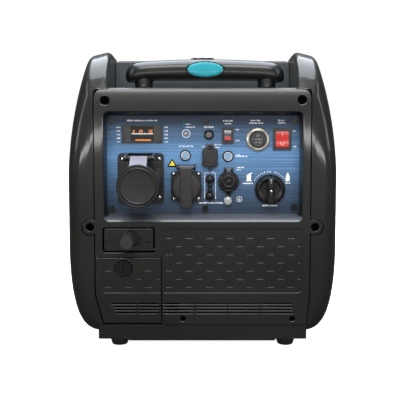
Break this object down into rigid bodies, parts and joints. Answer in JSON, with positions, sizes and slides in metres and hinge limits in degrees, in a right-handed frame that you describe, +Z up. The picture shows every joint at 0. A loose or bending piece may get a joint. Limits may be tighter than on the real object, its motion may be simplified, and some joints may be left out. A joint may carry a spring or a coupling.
{
  "type": "portable inverter generator",
  "caption": "Closed-case dual-fuel inverter generator with a recessed end control panel, two carry handles, lidded outlets, fuel selector and bottom-hinged service door.",
  "frame": {"origin": "centre of the overall bounding box on the floor under the rubber feet", "axes": "+X to the right seen from the control panel, +Y from the control panel to the exhaust end (longest), +Z up"},
  "size_m": [0.438, 0.605, 0.492],
  "materials": {
    "cover_plastic": "fine leather-grain texture",
    "black_plastic": "satin",
    "lid_plastic": "semi-gloss",
    "soft_rubber": "matt",
    "panel_blue": "brushed metallic print",
    "black_screws": "black oxide",
    "bright_steel": "brushed",
    "chrome_ring": "polished",
    "cast_alloy": "as cast",
    "rotor_iron": "machined",
    "copper_coils": "varnished windings",
    "brass_fitting": "turned",
    "teal_badge": "gloss",
    "red_plastic": "gloss, translucent",
    "smoke_plastic": "gloss, translucent",
    "pale_blue_plastic": "gloss",
    "lamp_red": "gloss",
    "tank_plastic": "matt",
    "rope_fibre": "braided"
  },
  "bodies": {
    "case": {"left_cover": "cover_plastic", "right_cover": "cover_plastic", "front_fascia": "cover_plastic", "top_cover": "cover_plastic", "rear_cover": "cover_plastic", "base_pan": "cover_plastic", "lpg_plate": "cover_plastic", "control_panel": "panel_blue", "rubber_feet": "soft_rubber", "front_handle": "soft_rubber", "rear_handle": "soft_rubber", "handle_badge": "teal_badge", "lpg_nipple": "brass_fitting", "panel_screws": "black_screws", "case_screws": "black_screws", "display": "lid_plastic", "status_lamps": "lamp_red", "button_collars": "chrome_ring", "rocker_frames": "lid_plastic", "cee_housing": "black_plastic", "schuko_socket": "black_plastic", "usb_port": "black_plastic", "parallel_sockets": "black_plastic", "dc_outlet": "black_plastic", "earth_stud": "bright_steel", "selector_base": "black_plastic", "fuel_tank": "tank_plastic", "crankcase": "cast_alloy", "cylinder_head": "cast_alloy", "stator": "copper_coils", "recoil_housing": "black_plastic", "carburettor": "cast_alloy", "air_box": "black_plastic", "muffler": "bright_steel", "exhaust_trim": "bright_steel", "inverter": "cast_alloy", "battery": "black_plastic"},
    "door": {"service_door": "cover_plastic"},
    "lock": {"door_lock": "black_plastic"},
    "selector": {"selector_knob": "lid_plastic"},
    "economy_switch": {"economy_rocker": "smoke_plastic"},
    "power_switch": {"power_rocker": "red_plastic"},
    "start_key": {"start_button": "lid_plastic"},
    "reset_key": {"reset_button": "black_plastic"},
    "ac_trip": {"ac_breaker": "pale_blue_plastic"},
    "dc_trip": {"dc_breaker": "pale_blue_plastic"},
    "three_phase_lid": {"cee_lid": "lid_plastic"},
    "mains_lid": {"schuko_lid": "lid_plastic"},
    "usb_flap": {"usb_cover": "soft_rubber"},
    "dc_flap": {"dc_cover": "lid_plastic"},
    "parallel_plugs": {"parallel_caps": "soft_rubber"},
    "gas_cap": {"lpg_cap": "soft_rubber"},
    "filler_cap": {"fuel_cap": "black_plastic"},
    "earth_thumb_nut": {"earth_nut": "brass_fitting"},
    "pull_grip": {"recoil_grip": "soft_rubber", "recoil_rope": "rope_fibre"},
    "starter_pulley": {"recoil_pulley": "black_plastic"},
    "crank": {"rotor": "rotor_iron"}
  },
  "joints": [
    {"name": "door_hinge", "type": "hinge", "parent": "case", "child": "door", "pos_m": [-0.1205, -0.266, 0.051], "axis": [1, 0, 0], "range_deg": [0, 75]},
    {"name": "lock_turn", "type": "hinge", "parent": "door", "child": "lock", "pos_m": [-0.1282, -0.27, 0.1392], "axis": [0, 1, 0], "range_deg": [0, 90]},
    {"name": "selector_turn", "type": "hinge", "parent": "case", "child": "selector", "pos_m": [0.1116, -0.234, 0.264], "axis": [0, 1, 0], "range_deg": [-60, 60]},
    {"name": "economy_rock", "type": "hinge", "parent": "case", "child": "economy_switch", "pos_m": [0.0415, -0.233, 0.3533], "axis": [1, 0, 0], "range_deg": [0, 14]},
    {"name": "power_rock", "type": "hinge", "parent": "case", "child": "power_switch", "pos_m": [0.131, -0.233, 0.3472], "axis": [1, 0, 0], "range_deg": [0, 14]},
    {"name": "start_press", "type": "slide", "parent": "case", "child": "start_key", "axis": [0, 1, 0], "range_m": [0, 0.0015], "stiffness_N_per_m": 1200, "springref_m": -0.0015},
    {"name": "reset_press", "type": "slide", "parent": "case", "child": "reset_key", "axis": [0, 1, 0], "range_m": [0, 0.002], "stiffness_N_per_m": 600, "springref_m": -0.002},
    {"name": "ac_trip_slide", "type": "slide", "parent": "case", "child": "ac_trip", "axis": [0, -1, 0], "range_m": [0, 0.004]},
    {"name": "dc_trip_slide", "type": "slide", "parent": "case", "child": "dc_trip", "axis": [0, -1, 0], "range_m": [0, 0.004]},
    {"name": "three_phase_lid_hinge", "type": "hinge", "parent": "case", "child": "three_phase_lid", "pos_m": [-0.1016, -0.272, 0.32], "axis": [-1, 0, 0], "range_deg": [0, 100], "stiffness_Nm_per_rad": 0.06, "springref_deg": -28.65},
    {"name": "mains_lid_hinge", "type": "hinge", "parent": "case", "child": "mains_lid", "pos_m": [-0.0269, -0.243, 0.302], "axis": [-1, 0, 0], "range_deg": [0, 90], "stiffness_Nm_per_rad": 0.02, "springref_deg": -28.65},
    {"name": "usb_flap_hinge", "type": "hinge", "parent": "case", "child": "usb_flap", "pos_m": [0.0123, -0.239, 0.3365], "axis": [-1, 0, 0], "range_deg": [0, 90]},
    {"name": "dc_flap_hinge", "type": "hinge", "parent": "case", "child": "dc_flap", "pos_m": [0.0431, -0.24, 0.298], "axis": [-1, 0, 0], "range_deg": [0, 90]},
    {"name": "parallel_plugs_pull", "type": "slide", "parent": "case", "child": "parallel_plugs", "axis": [0, -1, 0], "range_m": [0, 0.02]},
    {"name": "gas_cap_pull", "type": "slide", "parent": "case", "child": "gas_cap", "axis": [0, -1, 0], "range_m": [0, 0.035]},
    {"name": "filler_cap_turn", "type": "hinge", "parent": "case", "child": "filler_cap", "pos_m": [0, -0.058, 0.47], "axis": [0, 0, 1], "range_deg": [0, 180]},
    {"name": "earth_nut_turn", "type": "hinge", "parent": "case", "child": "earth_thumb_nut", "pos_m": [0.0418, -0.234, 0.2458], "axis": [0, 1, 0], "continuous": true},
    {"name": "starter_pull", "type": "slide", "parent": "case", "child": "pull_grip", "axis": [1, 0, 0], "range_m": [0, 0.29], "stiffness_N_per_m": 30, "springref_m": -0.1},
    {"name": "starter_pulley_turn", "type": "hinge", "parent": "case", "child": "starter_pulley", "pos_m": [0, -0.031, 0.19], "axis": [0, 1, 0], "range_deg": [0, 300]},
    {"name": "crank_turn", "type": "hinge", "parent": "case", "child": "crank", "pos_m": [0, 0, 0.19], "axis": [0, 1, 0], "continuous": true}
  ],
  "couplings": [
    {"joint": "starter_pulley_turn", "follows": "starter_pull", "rad_per_m": 17}
  ]
}
